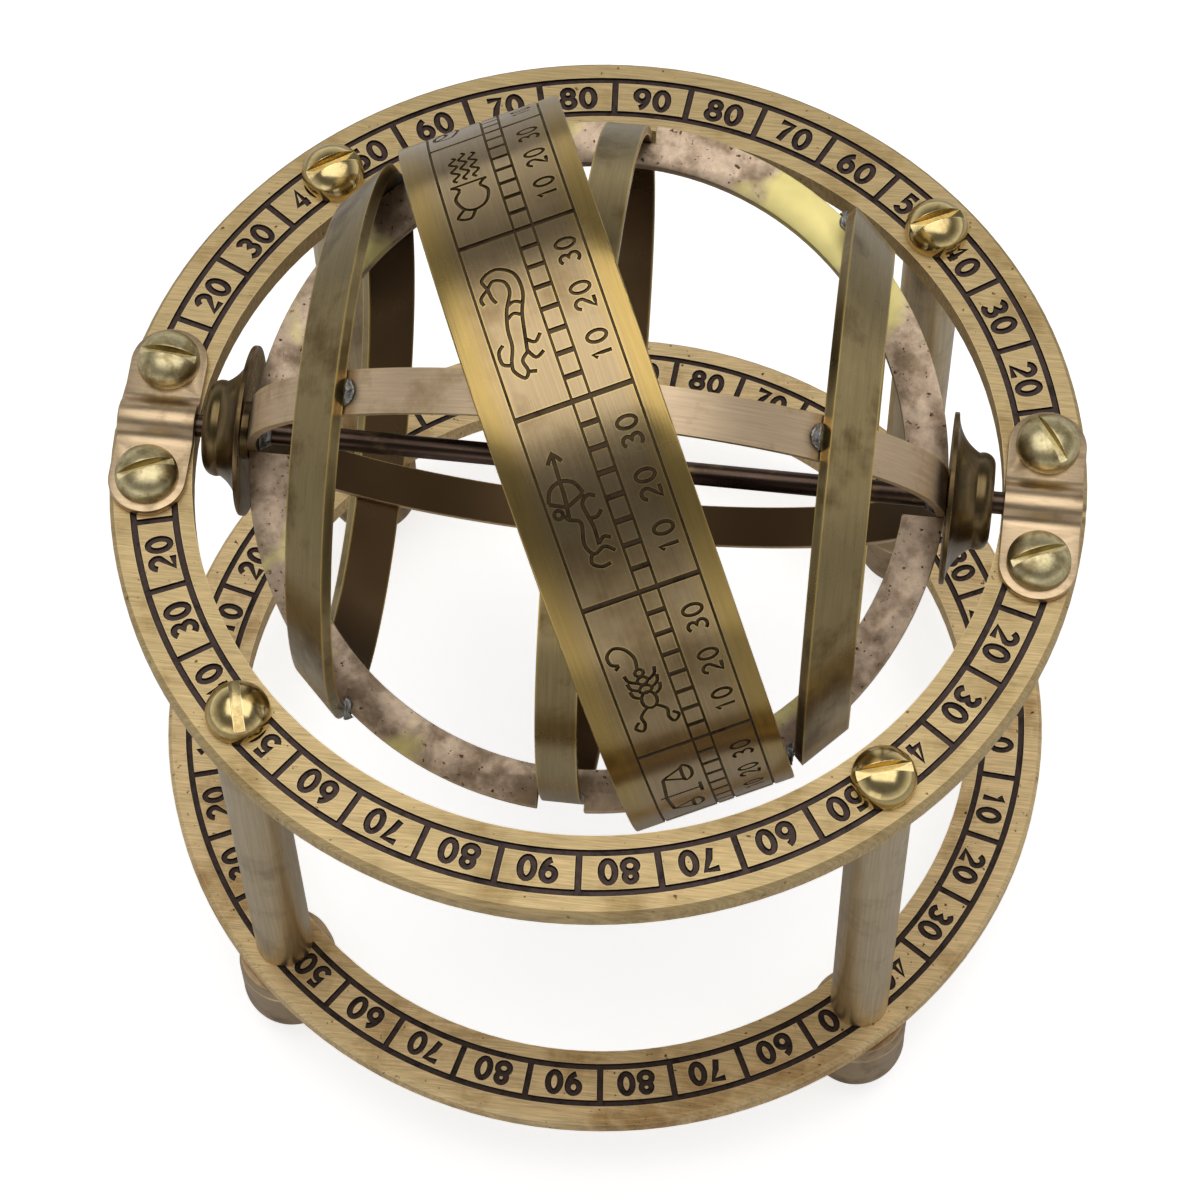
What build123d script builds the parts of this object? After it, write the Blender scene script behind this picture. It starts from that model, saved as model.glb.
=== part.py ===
from build123d import *
import os
from math import cos, hypot, radians, sin, sqrt

# Small armillary sphere that turns on a level axle, in a stand of two rings and four pillars.
# The origin is on the surface that the feet stand on, under the middle of the rings.
# +Z is up, the axle runs along X and the front is at -Y. All sizes are in millimetres.

# Rings of the stand
ring_outer_radius = 50.0
ring_width = 8.5
ring_thickness = 2.7
ring_edge_chamfer = 0.45
ring_spacing = 57.2            # from the top face of the base ring to that of the horizon ring

# Pillars, and the screws and feet that hold them
pillar_edge_distance = 4.6      # from the rim of the rings to the middle of a pillar
pillar_turn = 45.0             # round the rings, from the axle to each pillar
pillar_diameter = 6.35
pillar_end_chamfer = 0.25
pillar_bore_depth = 9.0
thread_radius = 1.5
thread_clearance = 0.05
thread_engagement = 7.5        # how far a screw or a stud reaches into its pillar

foot_height = 13.0
foot_radius = 5.45
foot_collar_radius = 5.2
foot_collar_height = 0.8
foot_shoulder_height = 2.0     # from the ring down to the line round the foot
foot_line_depth = 0.25
foot_dome_height = 5.8
foot_flat_radius = 1.8

# Slotted screws
pillar_head_radius = 3.3
pillar_head_height = 3.1
pillar_slot_width = 1.15
saddle_head_radius = 3.25
saddle_head_height = 2.7
saddle_slot_width = 0.85
head_rim_height = 0.6
slot_depth = 1.25
pillar_slot_turns = {"front_left": 105, "front_right": 17, "back_left": 33, "back_right": 26}
saddle_slot_turns = {"left_front": 24, "left_back": 175, "right_front": 23, "right_back": 125}

# Saddles that hold the axle in its grooves
saddle_thickness = 0.9
saddle_width = 8.0
saddle_edge_distance = 4.5     # from the rim of the horizon ring to the middle of a saddle
saddle_screw_spacing = 13.6
saddle_end_margin = 4.1        # from a screw to the end of the strip
saddle_hump_fillet = 1.6
saddle_screw_radius = 1.3
saddle_hole_clearance = 0.1
saddle_screw_tip_gap = 0.3     # from the tip of the screw to the underside of the ring

# Axle
axle_radius = 1.15
axle_end_margin = 1.4          # from each end of the axle to the rim of the horizon ring
axle_rise = 0.3                # its centre line stands this far over the horizon ring
running_clearance = 0.05

# Sphere
sphere_turn = 19.7             # roll of the sphere about the axle as it stands
strip_thickness = 0.9
seat_gap = 0.05
arc_width = 4.3                # radial width of the flat half rings
arc_thickness = 2.0
arc_slot_side_gap = 0.35
equinox_width = 4.4
equator_width = 4.1
tropic_width = 6.0
tropic_thickness = 1.2
tropic_latitude = 44.5         # from the equator to each tropic hoop
zodiac_width = 17.0
zodiac_tilt = 24.9
zodiac_node_turn = 3.2

# Pole caps
cap_clearance = 1.15           # from a cap to the inner edge of the horizon ring
cap_rim_radius = 8.8
cap_rim_height = 0.5
cap_shoulder_radius = 4.9
cap_shoulder_height = 2.9
cap_hub_radius = 3.8
cap_length = 4.6
cap_recess_depth = 0.8
cap_recess_outer_radius = 7.9
cap_boss_radius = 3.0

# Solder
solder_radius = 1.5
pole_solder_radius = 2.1
pole_solder_length = 1.3

# Levels and radii that follow from the sizes above
ring_inner_radius = ring_outer_radius - ring_width
pillar_circle_radius = ring_outer_radius - pillar_edge_distance
saddle_circle_radius = ring_outer_radius - saddle_edge_distance
axle_end_radius = ring_outer_radius - axle_end_margin
sphere_radius = ring_inner_radius - cap_clearance - cap_length
base_ring_bottom = foot_height
base_ring_top = base_ring_bottom + ring_thickness
horizon_top = base_ring_top + ring_spacing
horizon_bottom = horizon_top - ring_thickness
pillar_length = horizon_bottom - base_ring_top
axle_height = horizon_top + axle_rise
bearing_radius = axle_radius + running_clearance
equinox_inner_radius = sphere_radius - strip_thickness
equator_outer_radius = sqrt(equinox_inner_radius**2 - (equator_width / 2) ** 2) - seat_gap
equator_inner_radius = equator_outer_radius - strip_thickness
outer_seat_radius = hypot(sphere_radius, equinox_width / 2) + seat_gap
zodiac_outer_radius = outer_seat_radius + strip_thickness
tropic_slope = radians(tropic_latitude)
tropic_edge_distance = outer_seat_radius * sin(tropic_slope) - tropic_width / 2 * cos(tropic_slope)
tropic_crossing_radius = sqrt(sphere_radius**2 - tropic_edge_distance**2)

tolerance = 0.01               # for finding corners by their height
ALONG_X = Rot(0, 90, 0)
ALONG_Y = Rot(90, 0, 0)


def turned(*edges):
    """Solid of revolution about Z from a closed outline in the XZ plane."""
    return revolve(make_face(Curve() + list(edges)), Axis.Z)


def outline(*points):
    """Open chain of straight edges through (radius, height) points."""
    return Polyline(*[(radius, 0, height) for radius, height in points])


def arc(start, middle, end):
    """Arc through three (radius, height) points."""
    return ThreePointArc(*[(radius, 0, height) for radius, height in (start, middle, end)])


def tube(outer_radius, inner_radius, length):
    """Strip hoop as a short tube round Z, centred on the origin."""
    return Cylinder(outer_radius, length) - Cylinder(inner_radius, 2 * length)


def drill(radius, length):
    """Cutter for a hole that reaches the same distance both ways from the origin."""
    return Cylinder(radius, length)


def pillar_places():
    """Name and place of each pillar, at the level of the surface."""
    sideways = pillar_circle_radius * cos(radians(pillar_turn))
    backwards = pillar_circle_radius * sin(radians(pillar_turn))
    for end, end_name in ((-1, "front"), (1, "back")):
        for side, side_name in ((-1, "left"), (1, "right")):
            yield f"{end_name}_{side_name}", Pos(side * sideways, end * backwards, 0)


def saddle_screw_places():
    """Name and place of each saddle screw, at the level of the surface."""
    for side, side_name in ((-1, "left"), (1, "right")):
        for end, end_name in ((-1, "front"), (1, "back")):
            place = Pos(side * saddle_circle_radius, end * saddle_screw_spacing / 2, 0)
            yield f"{side_name}_{end_name}", place


def plain_ring():
    """Flat ring on the XY plane with its outer edges broken and holes for the pillars' screws."""
    rim = ring_outer_radius
    chamfer_size = ring_edge_chamfer
    section = outline(
        (ring_inner_radius, 0),
        (rim - chamfer_size, 0),
        (rim, chamfer_size),
        (rim, ring_thickness - chamfer_size),
        (rim - chamfer_size, ring_thickness),
        (ring_inner_radius, ring_thickness),
        (ring_inner_radius, 0),
    )
    ring = turned(section)
    for _, place in pillar_places():
        ring -= place * drill(thread_radius + thread_clearance, 3 * ring_thickness)
    return ring


def horizon_ring():
    """Upper ring, with a groove for the axle and tapped holes for the saddle screws."""
    ring = Pos(0, 0, horizon_bottom) * plain_ring()
    ring -= Pos(0, 0, axle_height) * ALONG_X * drill(bearing_radius, 3 * ring_outer_radius)
    hole = drill(saddle_screw_radius + thread_clearance, 3 * ring_thickness)
    for _, place in saddle_screw_places():
        ring -= Pos(0, 0, horizon_top) * place * hole
    return ring


def pillar(place):
    """Round rod between the rings, bored at both ends for its thread."""
    rod = Cylinder(pillar_diameter / 2, pillar_length)
    rod = chamfer(rod.edges().filter_by(GeomType.CIRCLE), pillar_end_chamfer)
    bore = drill(thread_radius + thread_clearance, pillar_bore_depth)
    for end in (-1, 1):
        rod -= Pos(0, 0, end * (pillar_length - pillar_bore_depth) / 2) * bore
    return Pos(0, 0, base_ring_top + pillar_length / 2) * place * rod


def slotted_screw(head_radius, head_height, slot_width, shank_radius, shank_length):
    """Domed screw with its head standing on the XY plane and its shank below."""
    dome_height = head_height - head_rim_height
    dome = EllipticalCenterArc((0, head_rim_height), head_radius, dome_height, arc_size=90)
    screw = turned(
        outline((0, head_height), (0, -shank_length), (shank_radius, -shank_length)),
        outline((shank_radius, -shank_length), (shank_radius, 0), (head_radius, 0)),
        outline((head_radius, 0), (head_radius, head_rim_height)),
        Plane.XZ * dome,
    )
    slot = Box(3 * head_radius, slot_width, 2 * slot_depth)
    return screw - Pos(0, 0, head_height) * slot


def pillar_screw(name, place):
    """Screw through the horizon ring into the top of a pillar."""
    shank_length = ring_thickness + thread_engagement
    head = (pillar_head_radius, pillar_head_height, pillar_slot_width)
    screw = slotted_screw(*head, thread_radius, shank_length)
    turn = Rot(0, 0, pillar_slot_turns[name])
    return Pos(0, 0, horizon_top) * place * turn * screw


def foot(place):
    """Turned foot with a flat underneath and a stud into the bottom of a pillar."""
    top = foot_height
    line_level = top - foot_shoulder_height
    dome_middle = (foot_radius * 0.8, foot_dome_height * 0.33)
    stud_top = top + ring_thickness + thread_engagement
    body = turned(
        outline((0, stud_top), (0, 0), (foot_flat_radius, 0)),
        arc((foot_flat_radius, 0), dome_middle, (foot_radius, foot_dome_height)),
        outline(
            (foot_radius, foot_dome_height),
            (foot_radius, line_level - foot_line_depth),
            (foot_radius - foot_line_depth, line_level),
            (foot_radius, line_level + foot_line_depth),
            (foot_collar_radius, top - foot_collar_height),
            (foot_collar_radius, top),
            (thread_radius, top),
            (thread_radius, stud_top),
            (0, stud_top),
        ),
    )
    return place * body


def saddle(side):
    """Strip with rounded ends that humps over the axle and lies flat on the horizon ring."""
    length = saddle_screw_spacing + 2 * saddle_end_margin
    hump_radius = bearing_radius + saddle_thickness
    side_view = Pos(0, saddle_thickness / 2) * Rectangle(length, saddle_thickness)
    side_view += Pos(0, axle_rise) * Circle(hump_radius)
    side_view -= Pos(0, -hump_radius) * Rectangle(length, 2 * hump_radius)
    top_corners = [corner for corner in side_view.vertices() if abs(corner.Y - saddle_thickness) < tolerance]
    hump_corners = ShapeList(top_corners).sort_by(lambda corner: abs(corner.X))[:2]
    side_view = fillet(hump_corners, saddle_hump_fillet)
    side_view -= Pos(0, axle_rise) * Circle(bearing_radius)
    strip = extrude(Plane.YZ * side_view, saddle_width / 2, both=True)
    plan = SlotOverall(length, saddle_width, rotation=90)
    strip &= extrude(plan, hump_radius + axle_rise + saddle_thickness)
    strip = Pos(side * saddle_circle_radius, 0, horizon_top) * strip
    hole = drill(saddle_screw_radius + saddle_hole_clearance, 4 * saddle_thickness)
    for _, place in saddle_screw_places():
        strip -= Pos(0, 0, horizon_top) * place * hole
    return strip


def saddle_screw(name, place):
    """Screw through a saddle into the horizon ring."""
    shank_length = saddle_thickness + ring_thickness - saddle_screw_tip_gap
    head = (saddle_head_radius, saddle_head_height, saddle_slot_width)
    screw = slotted_screw(*head, saddle_screw_radius, shank_length)
    turn = Rot(0, 0, saddle_slot_turns[name])
    return Pos(0, 0, horizon_top + saddle_thickness) * place * turn * screw


def axle():
    """Plain rod from saddle to saddle."""
    return ALONG_X * Cylinder(axle_radius, 2 * axle_end_radius)


def pole_cap(side):
    """Flared cap on the axle, its rim towards the sphere and its boss against the equinox hoop."""
    bore = axle_radius + seat_gap
    flare = arc(
        (cap_rim_radius, cap_rim_height),
        ((cap_rim_radius + cap_shoulder_radius) / 2 - 0.5, cap_rim_height + 0.8),
        (cap_shoulder_radius, cap_shoulder_height),
    )
    shoulder = arc(
        (cap_shoulder_radius, cap_shoulder_height),
        (cap_shoulder_radius - 0.2, (cap_shoulder_height + cap_length) / 2 + 0.4),
        (cap_hub_radius, cap_length),
    )
    cap = turned(
        outline((bore, cap_length), (bore, 0), (cap_boss_radius, 0)),
        outline((cap_boss_radius, 0), (cap_boss_radius, cap_recess_depth)),
        outline((cap_boss_radius, cap_recess_depth), (cap_recess_outer_radius, 0)),
        outline((cap_recess_outer_radius, 0), (cap_rim_radius, 0), (cap_rim_radius, cap_rim_height)),
        flare,
        shoulder,
        outline((cap_hub_radius, cap_length), (bore, cap_length)),
    )
    return Rot(0, side * 90, 0) * Pos(0, 0, sphere_radius) * cap


def solstice_arc(side):
    """Flat half ring that stops short of the poles, with a slot in its edge for the equator hoop."""
    ring = tube(sphere_radius, sphere_radius - arc_width, arc_thickness)
    pole_gap = equinox_width / 2 + seat_gap
    through = 3 * arc_thickness
    half = Box(3 * sphere_radius, 2 * sphere_radius, through)
    half = Pos(0, side * (pole_gap + sphere_radius), 0) * half
    slot_floor = sqrt(equator_inner_radius**2 - (arc_thickness / 2) ** 2) - seat_gap
    slot_width_here = equator_width + 2 * arc_slot_side_gap
    slot = Pos(0, side * (slot_floor + arc_width), 0) * Box(slot_width_here, 2 * arc_width, through)
    return (ring & half) - slot


def equinox_hoop():
    """Strip hoop through both poles, square to the flat half rings and drilled for the axle."""
    hoop = ALONG_Y * tube(sphere_radius, equinox_inner_radius, equinox_width)
    return hoop - ALONG_X * drill(axle_radius + seat_gap, 3 * sphere_radius)


def equator_hoop():
    """Strip hoop in the slots of the half rings and inside the equinox hoop."""
    return ALONG_X * tube(equator_outer_radius, equator_inner_radius, equator_width)


def tropic_hoop(side):
    """Smaller hoop of strip, coned so that it lies on the half rings and the equinox hoop."""
    section = Pos(outer_seat_radius + tropic_thickness / 2, 0) * Rectangle(tropic_thickness, tropic_width)
    section = Rot(0, 0, tropic_latitude) * section
    hoop = revolve(Plane.XZ * section, Axis.Z)
    return Rot(0, side * 90, 0) * hoop


def zodiac_band():
    """Wide outermost strip, tilted to the equator."""
    band = ALONG_X * tube(zodiac_outer_radius, outer_seat_radius, zodiac_width)
    return Rot(zodiac_node_turn, 0, 0) * Rot(0, 0, zodiac_tilt) * band


def solder_joints():
    """Lumps of solder beside the crossings of the tropic hoops, and cones round the axle inside the poles."""
    reach = tropic_edge_distance - seat_gap
    inner_side = Pos(reach / 2, 0, 0) * Box(reach, 2 * sphere_radius, 2 * sphere_radius)
    equinox_room = ALONG_Y * Cylinder(sphere_radius + seat_gap, 4 * solder_radius)
    arc_room = Cylinder(sphere_radius + seat_gap, arc_thickness + 2 * seat_gap)
    lumps = []
    for end in (-1, 1):
        over_equinox = Pos(tropic_edge_distance, 0, end * tropic_crossing_radius) * Sphere(solder_radius)
        over_arc = Pos(tropic_edge_distance, end * tropic_crossing_radius, 0) * Sphere(solder_radius)
        lumps.append((over_equinox & inner_side) - equinox_room)
        lumps.append((over_arc & inner_side) - arc_room)
    cone = Cone(axle_radius + 2 * seat_gap, pole_solder_radius, pole_solder_length)
    cone -= drill(axle_radius + seat_gap, 2 * pole_solder_length)
    seat = sqrt(equinox_inner_radius**2 - pole_solder_radius**2) - pole_solder_length / 2
    lumps.append(Pos(seat, 0, 0) * ALONG_X * cone)
    lumps += [Rot(0, 0, 180) * lump for lump in lumps]
    return Compound(children=[solid for lump in lumps for solid in lump.solids()])


def on_axle(shape):
    """Turn a piece of the sphere to how it stands, and lift it to the axle."""
    return Pos(0, 0, axle_height) * Rot(sphere_turn, 0, 0) * shape


parts = {
    "horizon_ring": horizon_ring(),
    "base_ring": Pos(0, 0, base_ring_bottom) * plain_ring(),
    "saddle_left": saddle(-1),
    "saddle_right": saddle(1),
}
for pillar_name, pillar_place in pillar_places():
    parts[f"pillar_{pillar_name}"] = pillar(pillar_place)
    parts[f"pillar_screw_{pillar_name}"] = pillar_screw(pillar_name, pillar_place)
    parts[f"foot_{pillar_name}"] = foot(pillar_place)
for screw_name, screw_place in saddle_screw_places():
    parts[f"saddle_screw_{screw_name}"] = saddle_screw(screw_name, screw_place)

sphere_parts = {
    "axle": axle(),
    "pole_cap_left": pole_cap(-1),
    "pole_cap_right": pole_cap(1),
    "solstice_arc_front": solstice_arc(-1),
    "solstice_arc_back": solstice_arc(1),
    "equinox_hoop": equinox_hoop(),
    "equator_hoop": equator_hoop(),
    "tropic_hoop_left": tropic_hoop(-1),
    "tropic_hoop_right": tropic_hoop(1),
    "zodiac_band": zodiac_band(),
    "solder_joints": solder_joints(),
}
for part_name, part_shape in sphere_parts.items():
    parts[part_name] = on_axle(part_shape)

os.makedirs("parts", exist_ok=True)
for part_name, part_shape in parts.items():
    export_step(part_shape, f"parts/{part_name}.step")
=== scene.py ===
import math

import bmesh
import bpy
from mathutils import Matrix, Vector, noise


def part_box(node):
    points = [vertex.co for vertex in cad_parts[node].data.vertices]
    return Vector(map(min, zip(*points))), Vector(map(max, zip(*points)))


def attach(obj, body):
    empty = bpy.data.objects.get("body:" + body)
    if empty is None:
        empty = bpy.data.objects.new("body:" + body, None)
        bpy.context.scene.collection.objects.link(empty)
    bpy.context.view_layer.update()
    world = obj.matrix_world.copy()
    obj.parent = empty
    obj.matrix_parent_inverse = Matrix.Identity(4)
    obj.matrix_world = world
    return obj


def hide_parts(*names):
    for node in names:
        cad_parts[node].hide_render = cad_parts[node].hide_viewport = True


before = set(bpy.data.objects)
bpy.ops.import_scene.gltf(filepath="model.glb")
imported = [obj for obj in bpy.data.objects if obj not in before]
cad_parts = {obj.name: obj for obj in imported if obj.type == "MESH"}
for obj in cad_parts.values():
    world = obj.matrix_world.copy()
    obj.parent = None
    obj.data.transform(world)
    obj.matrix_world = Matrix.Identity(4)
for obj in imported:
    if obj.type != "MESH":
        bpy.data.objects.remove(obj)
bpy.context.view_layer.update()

scene = bpy.context.scene
MM = 0.001

# Camera, fitted to the two rings and the hoops as the photograph shows them. Its target is the middle of
# the horizon ring's top face. Angles are in degrees and distances in millimetres.
camera_turn = 8.1928
camera_elevation = 62.3379
camera_roll = -1.6372
camera_distance = 424.69
camera_shift_right = 0.24
camera_shift_up = -13.74
focal_length_px = 4151.8
image_size_px = 1200
sensor_width = 36.0
nearest_seen = 10.0

# Studio. Places and sizes are in metres.
horizon_brightness = 0.95     # of the studio that the metal reflects, level with the object
overhead_brightness = 0.14    # and high above it
overhead_from = 0.6           # the Z of the direction from which it is high above
floor_half_width = 3.0
floor_grey = 0.8
floor_roughness = 0.9
floor_glow = 0.7              # seen by the camera alone, so that the paper looks white
lit_point = Vector((0, 0, 0.06))

# Where the CAD pieces are, in metres
ring_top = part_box("horizon_ring")[1].z
axle_low, axle_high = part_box("axle")
sphere_middle = (axle_low + axle_high) / 2

# Degree scale of the rings, in millimetres from the middle. Turns are in degrees.
scale_inner_radius = 43.35
scale_outer_radius = 47.6
scale_cells = 36
cells_in_quarter = 9
degrees_in_cell = 10
scale_turns = {"horizon_ring": -0.6, "base_ring": 1.1}
circle_steps = 240
line_sizes = (0.72, 0.54, 0.28)     # opening, floor and depth of a groove
digit_sizes = (0.74, 0.5, 0.28)
digit_base_radius = 44.2
digit_height = 2.3
digit_width = 1.36
digit_pitch = 2.16

# How the sphere stands at rest: turned on its axle, with the zodiac band turned a little further and tilted
sphere_rest_turn = 19.7
zodiac_turn = sphere_rest_turn + 3.2
zodiac_tilt = 24.9

# Zodiac band, in millimetres
zodiac_outer_radius = 36.768
zodiac_inner_radius = 35.868
zodiac_width = 17.0
zodiac_edge_radius = 0.16
zodiac_segments = 360

# Marks on the zodiac band, in millimetres. Places across it are measured from its middle line.
zodiac_cells = 12
boxes_in_cell = 8
first_cell_angle = 27.6       # from +Y towards +Z to a cell line, before the band is turned, in degrees
cell_angle = 30               # the middle of the flat marks lies two cells further round
figure_left = -5.37
ladder_left = 0.29
ladder_right = 2.1
number_right = 6.31
figure_base = 0.25
figure_order = (7, 6, 5, 4, 3, 2, 1, 0, 11, 10, 9, 8)
number_base = 5.42
number_height = 1.9
number_width = 1.15
number_pitch = 1.75
band_line_sizes = (0.3, 0.18, 0.15)     # opening, floor and depth of a groove
cross_line_sizes = (0.62, 0.42, 0.2)
figure_sizes = (0.42, 0.24, 0.17)
seam_gap = 0.3                # from each end of the long lines to the seam
mark_step = 1.0               # longest straight run of a mark that bends round the band
wave_steps = 8                # in each turn of a wavy stroke

# Cutters, in millimetres
cut_rise = 0.05               # how far a cutter stands over the face it cuts
floor_facing = -0.9           # the Z of a cutter's face that looks down and cuts a groove's floor

# Finish of the pieces, in millimetres and degrees
merge_distance = 0.001
flat_angle = 0.2              # faces this close to one plane become one
smooth_angle = 30
edge_segments = 2
edge_from_angle = 35          # edges sharper than this are rounded
rounded_smooth_angle = 25
hoop_corner_steps = 3
lump_rounds = 3               # times that the solder's mesh is divided
lump_step = 0.5               # edges longer than this are divided
lump_height = 0.3
lump_size = 0.7

sphere_turn = Matrix.Rotation(math.radians(sphere_rest_turn), 4, "X")
zodiac_place = (Matrix.Translation(sphere_middle) @ Matrix.Rotation(math.radians(zodiac_turn), 4, "X")
                @ Matrix.Rotation(math.radians(zodiac_tilt), 4, "Z"))
equinox_place = sphere_turn @ Matrix.Rotation(math.radians(90), 4, "Z")


# Nodes and materials

# Values of a noise between which a mark comes in. A metal's own share moves them down, for more marks.
stain_limits = (0.62, 0.78)
pit_limits = (0.72, 0.78)
patch_limits = (0.7, 0.78)
noise_limits = (0.3, 0.7)     # between which most values of a noise lie
# Inward faces get a painted shade over these distances.
inside_shade_limits = (2, -20)      # how far outwards a face looks, in millimetres, from plain to inside colour
flat_metal = 0.995            # how well a rounded normal and the face's own agree away from an edge
# The edge colour is rubbed wear and, on the hoops, partly a painted highlight.
wear_gain = 6.0               # how fast an edge turns to worn metal
gloss_spread = (-0.06, 0.08)  # how roughness varies with the stains


def add_node(tree, kind, inputs={}, **settings):
    """Add a node with its settings, and set or link its inputs by name or number."""
    node = tree.nodes.new(kind)
    for name, value in settings.items():
        setattr(node, name, value)
    for name, value in inputs.items():
        if isinstance(value, bpy.types.NodeSocket):
            tree.links.new(value, node.inputs[name])
        else:
            node.inputs[name].default_value = value
    return node


def linear(code):
    """Linear RGBA of an sRGB hex colour."""
    parts = [int(code[i:i + 2], 16) / 255 for i in (1, 3, 5)]
    return [c / 12.92 if c <= 0.04045 else ((c + 0.055) / 1.055) ** 2.4 for c in parts] + [1]


def aged_metal(name, face, stain, wear_and_sheen, roughness, stain_size, stain_share, grain, grain_amount,
               turn=(0, 0, 0), pit=None, pit_size=0.5, pit_share=0.0, inside_shade=None, margin=None,
               patch=None, metallic=1.0, wear_radius=0.25, bump=0.05):
    """Metal with cloudy stains, brushed grain, pits and rubbed edges. Sizes are in millimetres. The inside
    shade
    is painted shade: a darker colour on the faces that look inwards, to the middle of the sphere. The edge
    colour is rubbed wear, and on the hoops partly a painted highlight.

    The grain's three sizes lie along X, Y and Z of a frame at the middle of the sphere, turned by the Euler
    turn. The margin is a colour and the distances from that frame's YZ plane at which it starts and is full.
    The patch is a colour, a size and a share."""
    material = bpy.data.materials.new(name)
    material.use_nodes = True
    tree = material.node_tree
    shader = tree.nodes["Principled BSDF"]
    place = add_node(tree, "ShaderNodeTexCoord")
    clouds = add_node(tree, "ShaderNodeTexNoise", {
        "Vector": place.outputs["Object"], "Scale": 1 / (stain_size * MM), "Detail": 5.0, "Roughness": 0.62})
    stained = add_node(tree, "ShaderNodeMapRange", {
        "Value": clouds.outputs[0], "From Min": stain_limits[0] - stain_share,
        "From Max": stain_limits[1] - stain_share})
    local = add_node(tree, "ShaderNodeMapping", {
        "Vector": place.outputs["Object"], "Location": sphere_middle, "Rotation": turn,
        "Scale": (MM, MM, MM)}, vector_type="TEXTURE")
    along = add_node(tree, "ShaderNodeVectorMath", {0: local.outputs[0], 1: grain}, operation="DIVIDE")
    streaks = add_node(tree, "ShaderNodeTexNoise", {
        "Vector": along.outputs[0], "Scale": 1.0, "Detail": 4.0, "Roughness": 0.6})
    tone = add_node(tree, "ShaderNodeMapRange", {
        "Value": streaks.outputs[0], "From Min": noise_limits[0], "From Max": noise_limits[1],
        "To Min": 1 - grain_amount, "To Max": 1 + grain_amount})
    base = add_node(tree, "ShaderNodeMix", {0: stained.outputs[0], 6: linear(face), 7: linear(stain)},
                    data_type="RGBA")
    out = base.outputs[2]
    if margin:
        margin_colour, margin_start, margin_full = margin
        axes = add_node(tree, "ShaderNodeSeparateXYZ", {0: local.outputs[0]})
        aside = add_node(tree, "ShaderNodeMath", {0: axes.outputs[0]}, operation="ABSOLUTE")
        nearness = add_node(tree, "ShaderNodeMapRange", {
            "Value": aside.outputs[0], "From Min": margin_start, "From Max": margin_full})
        edged = add_node(tree, "ShaderNodeMix", {0: nearness.outputs[0], 6: out, 7: linear(margin_colour)},
                         data_type="RGBA")
        out = edged.outputs[2]
    grained = add_node(tree, "ShaderNodeVectorMath", {0: out, 3: tone.outputs[0]}, operation="SCALE")
    out = grained.outputs[0]
    if pit:
        specks = add_node(tree, "ShaderNodeTexNoise", {
            "Vector": place.outputs["Object"], "Scale": 1 / (pit_size * MM), "Detail": 2.0})
        pitted = add_node(tree, "ShaderNodeMapRange", {
            "Value": specks.outputs[0], "From Min": pit_limits[0] - pit_share,
            "From Max": pit_limits[1] - pit_share})
        marked = add_node(tree, "ShaderNodeMix", {0: pitted.outputs[0], 6: out, 7: linear(pit)},
                          data_type="RGBA")
        out = marked.outputs[2]
    if patch:
        patch_colour, patch_size, patch_share = patch
        spread = add_node(tree, "ShaderNodeTexNoise", {
            "Vector": place.outputs["Object"], "Scale": 1 / (patch_size * MM), "Detail": 3.0,
            "Distortion": 0.4})
        patched = add_node(tree, "ShaderNodeMapRange", {
            "Value": spread.outputs[0], "From Min": patch_limits[0] - patch_share,
            "From Max": patch_limits[1] - patch_share})
        spotted = add_node(tree, "ShaderNodeMix", {0: patched.outputs[0], 6: out, 7: linear(patch_colour)},
                           data_type="RGBA")
        out = spotted.outputs[2]
    # Painted shade: the faces that look inwards, towards the middle of the sphere, are painted darker.
    if inside_shade:
        from_middle = add_node(tree, "ShaderNodeVectorMath", {
            0: place.outputs["Object"], 1: sphere_middle}, operation="SUBTRACT")
        facing = add_node(tree, "ShaderNodeVectorMath", {
            0: from_middle.outputs[0], 1: place.outputs["Normal"]}, operation="DOT_PRODUCT")
        inward_shade_mask = add_node(tree, "ShaderNodeMapRange", {
            "Value": facing.outputs[1], "From Min": inside_shade_limits[0] * MM, "From Max": inside_shade_limits[1] * MM})
        painted_inside_shade = add_node(tree, "ShaderNodeMix", {0: inward_shade_mask.outputs[0], 6: out, 7: linear(inside_shade)},
                        data_type="RGBA")
        out = painted_inside_shade.outputs[2]
    # Edge colour: rubbed wear, and on the hoops partly a painted highlight along the edges.
    if wear_and_sheen:
        rounded = add_node(tree, "ShaderNodeBevel", {"Radius": wear_radius * MM}, samples=6)
        plain = add_node(tree, "ShaderNodeNewGeometry")
        edge = add_node(tree, "ShaderNodeVectorMath", {
            0: rounded.outputs[0], 1: plain.outputs["Normal"]}, operation="DOT_PRODUCT")
        wear_and_sheen_mask = add_node(tree, "ShaderNodeMapRange", {
            "Value": edge.outputs[1], "From Min": flat_metal, "From Max": flat_metal - 1 / wear_gain})
        final = add_node(tree, "ShaderNodeMix", {0: wear_and_sheen_mask.outputs[0], 6: out, 7: linear(wear_and_sheen)},
                         data_type="RGBA")
        out = final.outputs[2]
    tree.links.new(out, shader.inputs["Base Color"])
    gloss = add_node(tree, "ShaderNodeMapRange", {
        "Value": clouds.outputs[0], "From Min": noise_limits[0], "From Max": noise_limits[1],
        "To Min": roughness + gloss_spread[0], "To Max": roughness + gloss_spread[1]})
    tree.links.new(gloss.outputs[0], shader.inputs["Roughness"])
    relief = add_node(tree, "ShaderNodeBump", {
        "Height": streaks.outputs[0], "Strength": 0.5, "Distance": bump * MM})
    tree.links.new(relief.outputs[0], shader.inputs["Normal"])
    shader.inputs["Metallic"].default_value = metallic
    return material


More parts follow.
